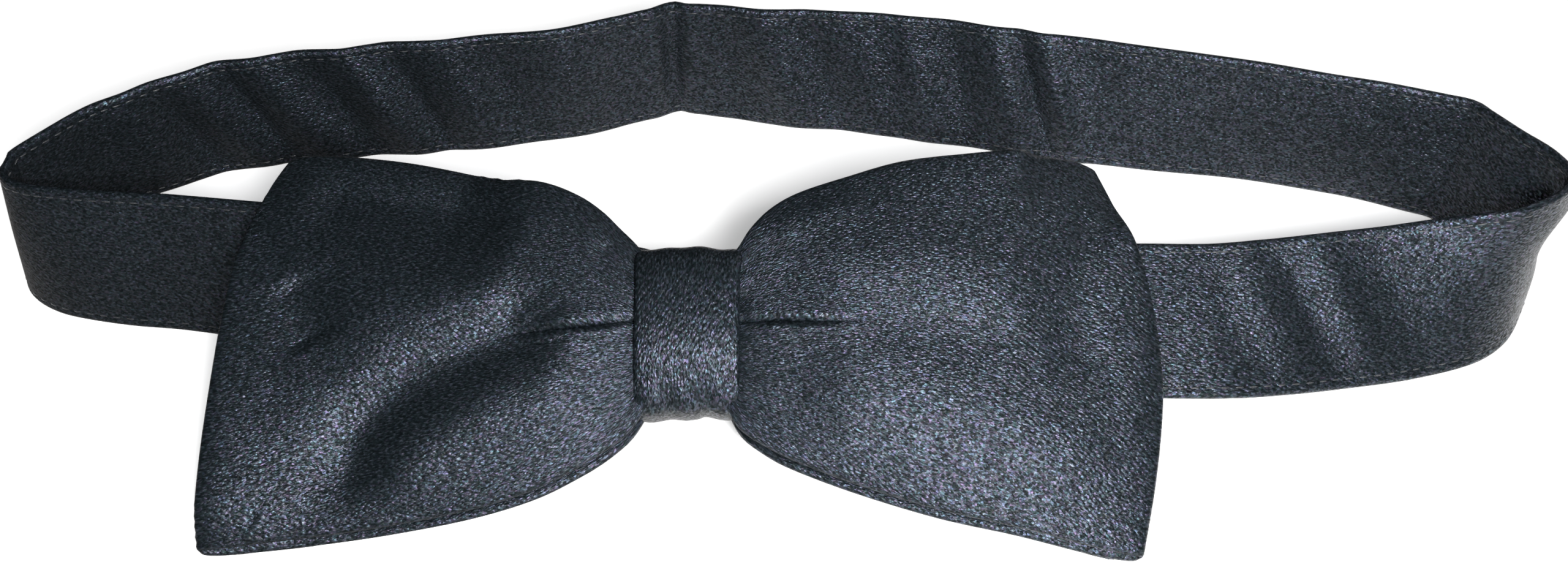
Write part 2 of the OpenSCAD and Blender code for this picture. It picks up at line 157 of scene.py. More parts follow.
# Outlines of the two bow loops in u and v, outwards from inside the knot.
LEFT_OUTLINE = {
    "bottom": [(-17.2, 17.2), (-19.2, 13.7), (-21.4, 11.5), (-26, 8.5), (-32, 5.4), (-40, 2.9),
               (-50, 0.9), (-60, -0.6), (-69, -1.8), (-73.2, -2.3)],
    "top": [(-17.2, 33.8), (-19.6, 36.8), (-22, 39.2), (-24.2, 41.4), (-27.3, 43.6), (-31.6, 45.4),
            (-37, 46.4), (-42, 47.7), (-50.7, 49.4), (-58.2, 50.3), (-63.5, 50.7),
            (-67.4, 50.5)],
    "outer": [(-73.2, -2.3), (-73.2, 8), (-72.9, 18), (-72.5, 28.5), (-71.8, 36), (-69.4, 45.7),
              (-67.4, 50.5)],
}
RIGHT_OUTLINE = {
    "bottom": [(-7.9, 17.2), (-5.8, 13.4), (-2.7, 11.2), (2, 8.9), (10, 5.9), (20, 2.9),
               (30, 0.7), (39.7, -1.8), (45.1, -2.9)],
    "top": [(-7.9, 33.8), (-5.8, 36.6), (-4.2, 39.2), (-1.6, 41.9), (2.1, 44.1), (8.4, 46.3),
            (15.8, 48.5), (24.3, 49.6), (31.7, 50.2), (39.1, 49.6), (42, 48.7)],
    "outer": [(45.1, -2.9), (47.1, 5.9), (48.4, 13.9), (48.8, 20.1), (48.2, 28.5),
              (46.6, 37), (44.1, 43.5), (42, 48.7)],
}

# Soft folds of each loop's front: path in u and v, half width, height out of the face. Those
# broader than BROAD_FOLD bend both plies and the edges as well.
BROAD_FOLD = 7.0
LEFT_FOLDS = [
    ([(-23, 18), (-33, 16), (-42, 12.5), (-48, 7.5), (-50, 1)], 5.0, 0.9),
    ([(-27, 26.4), (-34, 25.2), (-41, 22), (-48, 18), (-53.4, 13), (-55.4, 7.5), (-55, 0)],
     4.6, -1.7),
    ([(-34, 30), (-45, 29.6), (-53, 28.0), (-58, 24)], 4.4, 0.4),
    ([(-65, 33), (-62.5, 27.5), (-60, 23)], 3.6, -0.9),
    ([(-92, 47), (-85, 32), (-77.5, 13), (-75.5, -8)], 12.5, 4.3),
    ([(-82, 56), (-64, 60), (-46, 58), (-30, 52)], 15.0, -5.5),
    ([(-21, 37), (-26, 41), (-33, 44)], 3.2, 0.4),
    ([(-66, 46), (-55, 43.5), (-44, 41), (-34, 38)], 6.5, -1.5),
    ([(-22.4, 41), (-22.8, 38), (-24.4, 35)], 0.9, -0.25),
]
RIGHT_FOLDS = [
    ([(1, 20), (12, 17), (25, 14), (38, 10), (43, 4)], 6.0, 0.7),
    ([(9, 26.5), (20, 25.2), (31, 24.0)], 3.6, -0.35),
    ([(1, 33), (12, 35), (24, 34), (34, 30)], 5.5, 0.5),
    ([(32, 58), (44, 55), (54, 46)], 10.5, -4.2),
    ([(43, 43), (40.2, 35), (38.4, 27), (37.6, 18)], 4.2, -0.8),
    ([(47, 28), (46.5, 19), (45, 9)], 3.4, 0.6),
    ([(-3, 38), (3, 42), (11, 44)], 3.4, 0.4),
]
# The short pleat beside the knot: its path, and where along it the mouth gapes.
LEFT_PLEAT = [(-18, 26.9), (-21.5, 26.4), (-25.5, 25.8), (-30, 25.4), (-35, 25), (-39.5, 25)]
RIGHT_PLEAT = [(-7, 26.5), (-3.5, 26.5), (0.5, 26.5), (4.5, 26.4), (8, 26.5), (12, 26.9)]

# Section round the knot in v and w, anticlockwise from the lower back.
KNOT_SECTION = [
    (16.2, -9.0), (15.0, -5.5), (14.7, -1.6), (15.5, 1.4), (18.4, 3.2), (23.0, 4.4), (28.0, 4.6),
    (33.0, 4.0), (36.0, 2.2), (37.2, -1.2), (36.9, -6.0), (35.0, -9.2), (31.0, -9.9),
    (21.0, -9.9),
]


# ---------------------------------------------------------------- settings

class BandSettings(bpy.types.PropertyGroup):
    width: FloatProperty(name="Width", description="Width of the neck band", default=0.022,
                         unit="LENGTH")
    thickness: FloatProperty(name="Thickness", description="Thickness of the neck band",
                             default=0.0012, unit="LENGTH")
    stitch_pitch: FloatProperty(name="Stitch pitch", description="Length of one edge stitch",
                                default=0.0021, unit="LENGTH")
    stitch_inset: FloatProperty(name="Stitch inset", default=0.0014, unit="LENGTH",
                                description="Distance of the stitching from the band's edge")


class BowSettings(bpy.types.PropertyGroup):
    satin: FloatProperty(name="Satin thickness", description="Thickness of one ply of a loop",
                         default=0.0011, unit="LENGTH")
    crown: FloatProperty(name="Crown", description="How far a loop's front stands out",
                         default=0.0030, unit="LENGTH")
    belly: FloatProperty(name="Belly", description="How far a loop's rear hangs back",
                         default=0.0024, unit="LENGTH")
    knot_length: FloatProperty(name="Knot length", description="Width of the wrap round the knot",
                               default=0.0136, unit="LENGTH")


class ColourSettings(bpy.types.PropertyGroup):
    satin: FloatVectorProperty(name="Satin", description="Colour of the satin", subtype="COLOR",
                               size=3, default=(0.0045, 0.0068, 0.0080))
    # Colour of the painted glints: bright flecks in the satin's base colour that stand in for
    # threads catching the light.
    painted_glint: FloatVectorProperty(name="Fleck", description="Colour of the satin's bright threads",
                               subtype="COLOR", size=3, default=(0.019, 0.022, 0.029))
    canvas: FloatVectorProperty(name="Interlining", description="Colour of the interlining",
                                subtype="COLOR", size=3, default=(0.55, 0.54, 0.50))
    thread: FloatVectorProperty(name="Thread", description="Colour of the sewing thread",
                                subtype="COLOR", size=3, default=(0.010, 0.011, 0.013))
    nickel: FloatVectorProperty(name="Metal", description="Colour of the plated metal",
                                subtype="COLOR", size=3, default=(0.62, 0.62, 0.63))
    floor: FloatVectorProperty(name="Floor", description="Colour of the table", subtype="COLOR",
                               size=3, default=(0.86, 0.86, 0.86))


class BowTieSettings(bpy.types.PropertyGroup):
    band: PointerProperty(type=BandSettings, name="Band")
    bow: PointerProperty(type=BowSettings, name="Bow")
    colours: PointerProperty(type=ColourSettings, name="Colours")


# ---------------------------------------------------------------- curves and surfaces

def smooth(x):
    """Rises from 0 at 0 to 1 at 1 with level ends: 3x^2 - 2x^3."""
    x = np.clip(x, 0.0, 1.0)
    return x * x * (3.0 - 2.0 * x)


def spline(points, g):
    """Smooth curve through all the points (Catmull-Rom), at the station numbers g, which may lie
    between whole ones."""
    p = np.asarray(points, float)
    last = len(p) - 1
    g = np.clip(np.asarray(g, float), 0.0, last)
    i = np.minimum(np.floor(g).astype(int), last - 1)
    f = (g - i)[..., None]
    p0, p1 = p[np.maximum(i - 1, 0)], p[i]
    p2, p3 = p[i + 1], p[np.minimum(i + 2, last)]
    return 0.5 * (2 * p1 + (p2 - p0) * f + (2 * p0 - 5 * p1 + 4 * p2 - p3) * f ** 2
                  + (3 * p1 - p0 - 3 * p2 + p3) * f ** 3)


def even_spline(points, f):
    """The same curve at fractions f of its length, measured along 400 short chords."""
    g = np.linspace(0, len(points) - 1, 401)
    chords = np.linalg.norm(np.diff(spline(points, g), axis=0), axis=1)
    run = np.concatenate([[0], np.cumsum(chords)])
    return spline(points, np.interp(np.asarray(f) * run[-1], run, g))


def closed_spline(points, f):
    """Closed smooth curve through the points, at fractions f round it, evenly spaced."""
    n = len(points)
    wrapped = [points[-1]] + list(points) + [points[0], points[1]]
    g = np.linspace(1, n + 1, 801)
    chords = np.linalg.norm(np.diff(spline(wrapped, g), axis=0), axis=1)
    run = np.concatenate([[0], np.cumsum(chords)])
    return spline(wrapped, np.interp(np.asarray(f) * run[-1], run, g))


def unit(v):
    """Vectors scaled to length 1 along the last axis."""
    return v / np.maximum(np.linalg.norm(v, axis=-1, keepdims=True), 1e-12)


def soft_fold(u, v, path, width, height):
    """Height of a soft ridge or valley: height x exp(-(distance to path / width)^2),
    fading out over the first and last fifth of the path."""
    line = even_spline(path, np.linspace(0, 1, 49))
    d2 = (u[..., None] - line[:, 0]) ** 2 + (v[..., None] - line[:, 1]) ** 2
    nearest = np.argmin(d2, axis=-1)
    f = nearest / (len(line) - 1)
    fade = smooth(f / 0.2) * smooth((1 - f) / 0.2)
    return height * fade * np.exp(-np.min(d2, axis=-1) / width ** 2)


def run_lengths(points):
    """Length run along the first axis of a grid of points, measured on its middle line."""
    middle = points[:, points.shape[1] // 2]
    return np.concatenate([[0], np.cumsum(np.linalg.norm(np.diff(middle, axis=0), axis=1))])


def strip_shell(centre, half, edge_steps=3, closed=False, trim=0, run_start=0.0):
    """Closed skin round a strip of cloth. centre is an n by m grid of middle points in mm, half the
    half thickness, a number or an n by m grid. Each section runs over the upper face, round one
    edge in a half circle, back under the lower face and round the other edge. trim rows at each end
    only steer the normals. Returns points, faces and a cloth coordinate in mm for each corner."""
    n, m = centre.shape[:2]
    half = np.broadcast_to(np.asarray(half, float), (n, m))[..., None]
    if closed:
        along = np.roll(centre, -1, axis=0) - np.roll(centre, 1, axis=0)
    else:
        along = np.gradient(centre, axis=0)
    across = np.gradient(centre, axis=1)
    normal = unit(np.cross(along, across))
    angles = np.linspace(math.pi / 2, -math.pi / 2, edge_steps + 2)[1:-1]
    cos, sin = np.cos(angles)[None, :, None], np.sin(angles)[None, :, None]
    far = (centre[:, -1:] + unit(across[:, -1:]) * half[:, -1:] * cos
           + normal[:, -1:] * half[:, -1:] * sin)
    near = (centre[:, :1] - unit(across[:, :1]) * half[:, :1] * cos
            - normal[:, :1] * half[:, :1] * sin)
    ring = np.concatenate([centre + normal * half, far,
                           (centre - normal * half)[:, ::-1], near], axis=1)
    if trim:
        ring, centre = ring[trim:-trim], centre[trim:-trim]
        n = len(ring)
    k = ring.shape[1]
    girth = np.concatenate([[0], np.cumsum(np.linalg.norm(
        np.diff(np.concatenate([ring[n // 2], ring[n // 2][:1]]), axis=0), axis=1))])
    rows = n if closed else n - 1
    i, j = np.meshgrid(np.arange(rows), np.arange(k), indexing="ij")
    i, j = i.ravel(), j.ravel()
    i2, j2 = (i + 1) % n, (j + 1) % k
    quads = np.stack([i * k + j, i2 * k + j, i2 * k + j2, i * k + j2], axis=1)
    run = run_start + run_lengths(centre)
    run = np.concatenate([run, [2 * run[-1] - run[-2]]])
    cloth = np.stack([
        np.stack([run[i], girth[j]], axis=1), np.stack([run[i + 1], girth[j]], axis=1),
        np.stack([run[i + 1], girth[j + 1]], axis=1), np.stack([run[i], girth[j + 1]], axis=1)],
        axis=1)
    faces = quads.tolist()
    corners = cloth.reshape(-1, 2)
    if not closed:
        top = np.arange(m)
        low = (2 * m + edge_steps - 1) - top
        cap = np.stack([top[:-1], top[1:], low[1:], low[:-1]], axis=1).tolist()
        cap.append([m - 1] + list(range(m, m + edge_steps)) + [m + edge_steps])
        cap.append([2 * m + edge_steps - 1] + list(range(2 * m + edge_steps, k)) + [0])
        end = (n - 1) * k
        for face in cap:
            faces.append(face)
            corners = np.concatenate([corners, np.stack([np.zeros(len(face)), girth[face]], 1)])
            faces.append([end + x for x in reversed(face)])
            corners = np.concatenate([corners, np.stack([np.full(len(face), run[n - 1]),
                                                         girth[face[::-1]]], 1)])
    return ring.reshape(-1, 3), faces, corners


def make_piece(name, points, faces, corners, material):
    """A mesh object at the origin from points in mm, with its cloth coordinates as a UV map."""
    mesh = bpy.data.meshes.new(name)
    mesh.from_pydata((np.asarray(points) * MM).tolist(), [], faces)
    if corners is not None:
        layer = mesh.uv_layers.new(name="Cloth")
        layer.data.foreach_set("uv", np.asarray(corners, np.float32).ravel())
    mesh.polygons.foreach_set("use_smooth", np.ones(len(mesh.polygons), bool))
    mesh.set_sharp_from_angle(angle=math.radians(62))
    mesh.update()
    piece = bpy.data.objects.new(name, mesh)
    bpy.context.scene.collection.objects.link(piece)
    mesh.materials.append(material)
    return piece


# ---------------------------------------------------------------- materials

# The colour sockets of a Mix node: its two inputs and its output.
MIX_A, MIX_B, MIX_RESULT = 6, 7, 2


def new_material(name):
    """A material with an empty node tree but for its shader and output."""
    material = bpy.data.materials.new(name)
    material.use_nodes = True
    tree = material.node_tree
    shader = tree.nodes["Principled BSDF"]
    return material, tree, shader


def cloth_coords(tree, angle, stretch):
    """The piece's cloth coordinates in mm, turned by angle and stretched along the threads."""
    uv = tree.nodes.new("ShaderNodeUVMap")
    uv.uv_map = "Cloth"
    mapping = tree.nodes.new("ShaderNodeMapping")
    mapping.inputs["Rotation"].default_value = (0, 0, math.radians(angle))
    mapping.inputs["Scale"].default_value = (1.0 / stretch, 1.0, 1.0)
    tree.links.new(uv.outputs["UV"], mapping.inputs["Vector"])
    return mapping.outputs["Vector"]


def noise(tree, coords, scale, detail=2.0, roughness=0.5):
    """Noise with that many features to a unit of its coordinates."""
    node = tree.nodes.new("ShaderNodeTexNoise")
    node.inputs["Scale"].default_value = scale
    node.inputs["Detail"].default_value = detail
    node.inputs["Roughness"].default_value = roughness
    tree.links.new(coords, node.inputs["Vector"])
    return node


def ramp(tree, value, stops):
    """Colour ramp through (position, colour) stops."""
    node = tree.nodes.new("ShaderNodeValToRGB")
    elements = node.color_ramp.elements
    for position, _ in stops[2:]:
        elements.new(position)
    for element, (position, colour) in zip(elements, stops):
        element.position = position
        element.color = (*colour, 1.0)
    tree.links.new(value, node.inputs["Fac"])
    return node.outputs["Color"]


def bump(tree, height, distance, strength, normal=None):
    """Bump of that height in metres."""
    node = tree.nodes.new("ShaderNodeBump")
    node.inputs["Distance"].default_value = distance
    node.inputs["Strength"].default_value = strength
    tree.links.new(height, node.inputs["Height"])
    if normal is not None:
        tree.links.new(normal, node.inputs["Normal"])
    return node.outputs["Normal"]


def satin_material(name, colours):
    """Black satin: a dark ground of random tone with slanting flecks of painted glint that stand
    for its bright threads, a fine slanting twill line in the bump, and a broad soft shine that
    changes from thread to thread in strength and tint."""
    material, tree, shader = new_material(name)
    slanted = cloth_coords(tree, angle=38, stretch=2.2)
    glint_and_grain_noise = noise(tree, slanted, scale=3.6, detail=1.0)
    ground = tuple(colours.satin)
    painted_glint = tuple(colours.painted_glint)
    # The ramp's dark end is random tone of the weave; its bright flecks are painted glints,
    # standing in for threads that catch the light.
    colour = ramp(tree, glint_and_grain_noise.outputs["Fac"],
                  [(0.40, tuple(0.45 * c for c in ground)), (0.58, ground), (0.76, painted_glint)])
    tree.links.new(colour, shader.inputs["Base Color"])
    cells = tree.nodes.new("ShaderNodeTexVoronoi")
    cells.inputs["Scale"].default_value = 3.6
    cells.inputs["Randomness"].default_value = 0.8
    tree.links.new(cloth_coords(tree, angle=32, stretch=1.3), cells.inputs["Vector"])
    pick = tree.nodes.new("ShaderNodeSeparateColor")
    tree.links.new(cells.outputs["Color"], pick.inputs["Color"])
    glint = tree.nodes.new("ShaderNodeMath")
    glint.operation = "POWER"
    glint.inputs[1].default_value = 1.8
    tree.links.new(pick.outputs["Blue"], glint.inputs[0])
    shine = tree.nodes.new("ShaderNodeMapRange")
    shine.inputs["To Min"].default_value = 0.08
    shine.inputs["To Max"].default_value = 0.80
    tree.links.new(glint.outputs["Value"], shine.inputs["Value"])
    tree.links.new(shine.outputs["Result"], shader.inputs["Specular IOR Level"])
    tint = tree.nodes.new("ShaderNodeMix")
    tint.data_type = "RGBA"
    tint.inputs["Factor"].default_value = 0.30
    tint.inputs[MIX_A].default_value = (0.66, 0.76, 1.0, 1.0)
    tree.links.new(cells.outputs["Color"], tint.inputs[MIX_B])
    tree.links.new(tint.outputs[MIX_RESULT], shader.inputs["Specular Tint"])
    wave = tree.nodes.new("ShaderNodeTexWave")
    wave.inputs["Scale"].default_value = 0.5
    wave.inputs["Distortion"].default_value = 1.2
    wave.inputs["Detail"].default_value = 1.0
    tree.links.new(cloth_coords(tree, angle=-52, stretch=1.0), wave.inputs["Vector"])
    twill = bump(tree, wave.outputs["Fac"], distance=0.00004, strength=0.5)
    grain = bump(tree, glint_and_grain_noise.outputs["Fac"], distance=0.00020, strength=0.8, normal=twill)
    tree.links.new(grain, shader.inputs["Normal"])
    shader.inputs["Roughness"].default_value = 0.41
    return material


def canvas_material(colours):
    """Interlining: an open plain weave, light and matt."""
    material, tree, shader = new_material("interlining_canvas")
    coords = cloth_coords(tree, angle=0, stretch=1.0)
    checker = tree.nodes.new("ShaderNodeTexChecker")
    checker.inputs["Scale"].default_value = 2.2
    tree.links.new(coords, checker.inputs["Vector"])
    grain = noise(tree, coords, scale=1.4)
    colour = ramp(tree, grain.outputs["Fac"],
                  [(0.3, tuple(0.8 * c for c in colours.canvas)), (0.7, tuple(colours.canvas))])
    tree.links.new(colour, shader.inputs["Base Color"])
    weave = bump(tree, checker.outputs["Fac"], distance=0.0001, strength=0.6)
    tree.links.new(weave, shader.inputs["Normal"])
    shader.inputs["Roughness"].default_value = 0.92
    return material


def thread_material(colours):
    """Sewing thread: fine twisted strands across each stitch."""
    material, tree, shader = new_material("sewing_thread")
    coords = tree.nodes.new("ShaderNodeTexCoord").outputs["Object"]
    strands = noise(tree, coords, scale=4000.0, detail=1.0)
    colour = ramp(tree, strands.outputs["Fac"],
                  [(0.35, tuple(0.5 * c for c in colours.thread)),
                   (0.65, tuple(2.2 * c for c in colours.thread))])
    tree.links.new(colour, shader.inputs["Base Color"])
    twist = bump(tree, strands.outputs["Fac"], distance=0.00006, strength=0.6)
    tree.links.new(twist, shader.inputs["Normal"])
    shader.inputs["Roughness"].default_value = 0.45
    shader.inputs["Sheen Weight"].default_value = 0.2
    return material


def nickel_material(colours):
    """Nickel plate: fine brushing, slight cloudiness and a soft polish."""
    material, tree, shader = new_material("nickel_plate")
    coords = tree.nodes.new("ShaderNodeTexCoord").outputs["Object"]
    cloud = noise(tree, coords, scale=160.0, detail=3.0)
    colour = ramp(tree, cloud.outputs["Fac"],
                  [(0.3, tuple(0.82 * c for c in colours.nickel)), (0.7, tuple(colours.nickel))])
    tree.links.new(colour, shader.inputs["Base Color"])
    fine = noise(tree, coords, scale=5200.0, detail=2.0)
    brushing = bump(tree, fine.outputs["Fac"], distance=0.00001, strength=0.5)
    tree.links.new(brushing, shader.inputs["Normal"])
    rough = tree.nodes.new("ShaderNodeMapRange")
    rough.inputs["To Min"].default_value = 0.22
    rough.inputs["To Max"].default_value = 0.36
    tree.links.new(cloud.outputs["Fac"], rough.inputs["Value"])
    tree.links.new(rough.outputs["Result"], shader.inputs["Roughness"])
    shader.inputs["Metallic"].default_value = 1.0
    return material


def floor_material(colours):
    """Pale table top with a barely uneven tone. To every ray but the camera's it is a painted
    reflection: a glowing sheet that runs from dark at the left to pale at the right, so that the
    band's upright side shows painted shade on the left and a painted reflection on the right."""
    material, tree, shader = new_material("pale_floor")
    coords = tree.nodes.new("ShaderNodeTexCoord").outputs["Object"]
    tone = noise(tree, coords, scale=3.0)
    colour = ramp(tree, tone.outputs["Fac"],
                  [(0.3, tuple(0.97 * c for c in colours.floor)), (0.7, tuple(colours.floor))])
    tree.links.new(colour, shader.inputs["Base Color"])
    shader.inputs["Roughness"].default_value = 0.9
    shader.inputs["Specular IOR Level"].default_value = 0.1
    shader.inputs["Emission Color"].default_value = (1.0, 1.0, 1.0, 1.0)
    shader.inputs["Emission Strength"].default_value = 0.30
    # Painted reflection and painted shade: to every ray but the camera's the floor glows, dark on
    # the left and pale on the right, though it is no lamp.
    reflected = tree.nodes.new("ShaderNodeBsdfPrincipled")
    reflected.inputs["Roughness"].default_value = 1.0
    reflected.inputs["Emission Strength"].default_value = 0.7
    across = tree.nodes.new("ShaderNodeSeparateXYZ")
    tree.links.new(coords, across.inputs[0])
    reflection_gradient = tree.nodes.new("ShaderNodeMapRange")
    reflection_gradient.inputs["From Min"].default_value = -0.07
    reflection_gradient.inputs["From Max"].default_value = 0.02
    tree.links.new(across.outputs["X"], reflection_gradient.inputs["Value"])
    reflection = ramp(tree, reflection_gradient.outputs["Result"],
                      [(0.0, (0.20, 0.19, 0.18)), (1.0, (0.85, 0.84, 0.82))])
    tree.links.new(reflection, reflected.inputs["Base Color"])
    tree.links.new(reflection, reflected.inputs["Emission Color"])
    path = tree.nodes.new("ShaderNodeLightPath")
    mix = tree.nodes.new("ShaderNodeMixShader")
    tree.links.new(path.outputs["Is Camera Ray"], mix.inputs[0])
    tree.links.new(reflected.outputs[0], mix.inputs[1])
    tree.links.new(shader.outputs[0], mix.inputs[2])
    output = next(node for node in tree.nodes if node.type == "OUTPUT_MATERIAL")
    tree.links.new(mix.outputs[0], output.inputs["Surface"])
    return material


# ---------------------------------------------------------------- the band

def band_surface(stations, heights, width):
    """Middle surface of the band. At each station of the route the band's foot is the route's
    point, and it rises by lean from upright to the inside; heights are the distances up it from
    its middle, in mm. Soft folds push it outwards by their height x exp(-(offset / width)^2)."""
    route = spline(BAND_ROUTE, stations)
    step = 0.02
    ahead = spline(BAND_ROUTE, np.minimum(stations + step, len(BAND_ROUTE) - 1))
    behind = spline(BAND_ROUTE, np.maximum(stations - step, 0))
    along = ahead[:, :3] - behind[:, :3]
    along[:, 2] = 0
    along = unit(along)
    inside = np.stack([-along[:, 1], along[:, 0], np.zeros(len(along))], axis=1)
    lean = np.radians(route[:, 3])[:, None]
    up = inside * np.sin(lean) + np.array([0, 0, 1.0]) * np.cos(lean)
    out = np.cross(along, up)
    foot = route[:, :3] + np.array([CENTRE_X, CENTRE_Y, 0])
    foot[:, 2] += np.abs(np.sin(lean[:, 0])) * 0.6
    middle = foot + up * width / 2
    x = route[:, 0][:, None]
    station = stations[:, None]
    on_front = (station < RIGHT_BEND) | (station > LEFT_BEND)
    rise = np.asarray(heights)[None, :]
    push = np.zeros((len(stations), rise.shape[1]))
    for fold_x, run, slant, reach, height in BAND_FOLDS:
        here = on_front if run == "f" else ~on_front
        offset = x - fold_x - slant * rise / width
        push += here * height * np.exp(-(offset / reach) ** 2)
    edge = 0.15 + 0.85 * np.cos(math.pi * rise / width) ** 0.7
    push = push * edge
    # Slow waves keep the long runs from looking ruled.
    push += 0.18 * np.sin(x / 9.0 + rise / 11.0) * smooth(np.abs(x) / 30.0)
    # At both ends of the route, behind the bow, the band lies flat.
    loose = smooth((station - 3.5) / 1.5) * smooth((52.5 - station) / 2.0)
    # The right bend is dented at mid height and bulges above.
    bend = np.exp(-((station - RIGHT_BEND) / 1.6) ** 2)
    push += bend * (-1.6 * np.exp(-((rise + 0.5) / 4.0) ** 2)
                    + 0.7 * np.exp(-((rise - 5.5) / 2.5) ** 2))
    push = push * loose
    # Behind the knot the band is drawn together by its sewing.
    gather = 1.0 - 0.11 * np.exp(-((x - SEAM_U) / 6.0) ** 2) * (station > LEFT_BEND)
    rise = (rise + width / 2) * gather - width / 2
    return middle[:, None] + up[:, None] * rise[..., None] + out[:, None] * push[..., None]


def station_steps(first, last, step):
    """Station numbers from first to last whose points lie about step mm apart."""
    g = np.linspace(first, last, 40 * (last - first) + 1)
    line = spline(BAND_ROUTE, g)[:, :2]
    run = np.concatenate([[0], np.cumsum(np.linalg.norm(np.diff(line, axis=0), axis=1))])
    count = max(int(round(run[-1] / step)), 4)
    return np.interp(np.linspace(0, run[-1], count + 1), run, g), float(run[-1])


def stitch_rows(first, last, settings):
    """Centres, directions and outward normals of the edge stitches of a stretch of band,
    along two lines on each face, from the same surface as the band."""
    width = settings.width / MM
    line = width / 2 - settings.stitch_inset / MM
    stations, _ = station_steps(first, last, settings.stitch_pitch / MM)
    middles = (stations[1:] + stations[:-1]) / 2
    offset = 0.01
    rows = np.array([-line, line])
    here = band_surface(middles, rows, width)
    ahead = band_surface(middles + offset, rows, width)
    above = band_surface(middles, rows + 0.3, width)
    along = unit(ahead - here)
    normal = unit(np.cross(along, unit(above - here)))
    places, ways, sides = [], [], []
    for sign in (1, -1):
        places.append(here + sign * normal * (settings.thickness / MM / 2 - 0.05))
        ways.append(along)
        sides.append(sign * normal)
    return [np.concatenate([a.reshape(-1, 3) for a in part]) for part in (places, ways, sides)]


def stitches_mesh(places, ways, sides, length, radius):
    """Stitches as low humps of thread: each is a ring of 6 points at 5 places along it, whose
    height over the cloth is radius x sin, so that both ends dip into the cloth."""
    f = np.linspace(0, 1, 5)
    swell = np.sin(math.pi * np.clip(f, 0.04, 0.96)) ** 0.5
    ring = np.linspace(0, 2 * math.pi, 7)[:-1]
    binormal = np.cross(ways, sides)
    body = (places[:, None, None] + ways[:, None, None] * ((f - 0.5) * length)[None, :, None, None]
            + sides[:, None, None] * (radius * (swell[:, None] * np.sin(ring)[None, :]
                                                + swell[:, None] - 1.0))[None, :, :, None]
            + binormal[:, None, None] * (radius * swell[:, None]
                                         * np.cos(ring)[None, :])[None, :, :, None])
    count = len(places)
    base = np.arange(count) * 30
    i, j = np.meshgrid(np.arange(4), np.arange(6), indexing="ij")
    i, j = i.ravel(), j.ravel()
    quads = np.stack([i * 6 + j, i * 6 + (j + 1) % 6, (i + 1) * 6 + (j + 1) % 6,
                      (i + 1) * 6 + j], axis=1)
    faces = (base[:, None, None] + quads[None]).reshape(-1, 4).tolist()
    caps = [list(range(5, -1, -1)), list(range(24, 30))]
    for cap in caps:
        faces += (base[:, None] + np.array(cap)[None]).tolist()
    return body.reshape(-1, 3), faces


def attach(piece, bodies, bend):
    """The piece rides on its body. A piece with two bodies is only baked in place: the ends of its
    bend along x or y are worked out but not used.
    """
    if len(bodies) == 1:
        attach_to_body(piece, bodies[0])
        return
    axis, start, end = bend
    shift = CENTRE_X if axis == "x" else CENTRE_Y
    start, end = start + shift, end + shift
    ends = [[0.0, 0.0, 0.0], [0.0, 0.0, 0.0]]
    place = "xyz".index(axis)
    ends[0][place], ends[1][place] = start * MM, end * MM
    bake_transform(piece)


def band_sections(width, thickness, count):
    """Heights across the band from its middle, and half the thickness at each: the two pressed
    edges are full, a shallow groove marks each stitch line, and the middle is a little softer."""
    half = thickness / 2
    reach = width / 2 - half
    f = np.linspace(-1, 1, count)
    heights = reach * np.sin(f * math.pi / 2 * 0.82) / math.sin(math.pi / 2 * 0.82)
    line = width / 2 - 1.4
    groove = 0.05 * np.exp(-((np.abs(heights) - line) / 0.30) ** 2)
    puff = 0.10 * np.cos(heights / reach * math.pi / 2) ** 2
    return heights, half - groove + puff


class BuildBand(bpy.types.Operator):
    """Build the satin neck band, its interlining and its edge stitching, piece by piece"""

    bl_idname = "bowtie.build_band"
    bl_label = "Neck band"

    def execute(self, context):
        settings = context.scene.bow_tie.band
        width, thickness = settings.width / MM, settings.thickness / MM
        heights, half = band_sections(width, thickness, 33)
        satin = bpy.data.materials["band_satin"]
        for name, first, last, bodies, node, bend in BAND_PIECES:
            stations, length = station_steps(first, last, 0.8)
            run_start = station_steps(0, first, 0.8)[1] if first else 0.0
            beyond = np.concatenate([[2 * stations[0] - stations[1]], stations,
                                     [2 * stations[-1] - stations[-2]]])
            centre = band_surface(beyond, heights, width)
            piece = make_piece(name, *strip_shell(centre, half[None, :], trim=1,
                                                  run_start=run_start), satin)
            lining_heights = np.linspace(-1, 1, 13) * (width / 2 - LINING_MARGIN)
            lining_centre = band_surface(stations, lining_heights, width)
            lining = make_piece(name + "_interlining",
                                *strip_shell(lining_centre, half=0.16, edge_steps=1),
                                bpy.data.materials["interlining_canvas"])
            rows = stitch_rows(first, last, settings)
            points, faces = stitches_mesh(*rows, length=settings.stitch_pitch / MM * 0.72,
                                          radius=0.12)
            stitching = make_piece(name + "_stitching", points, faces, None,
                                   bpy.data.materials["sewing_thread"])
            for part in (piece, lining, stitching):
                attach(part, bodies, bend)
            if node:
                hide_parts(node)
                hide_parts(node + "_interlining")
        return {"FINISHED"}


# ---------------------------------------------------------------- the bow

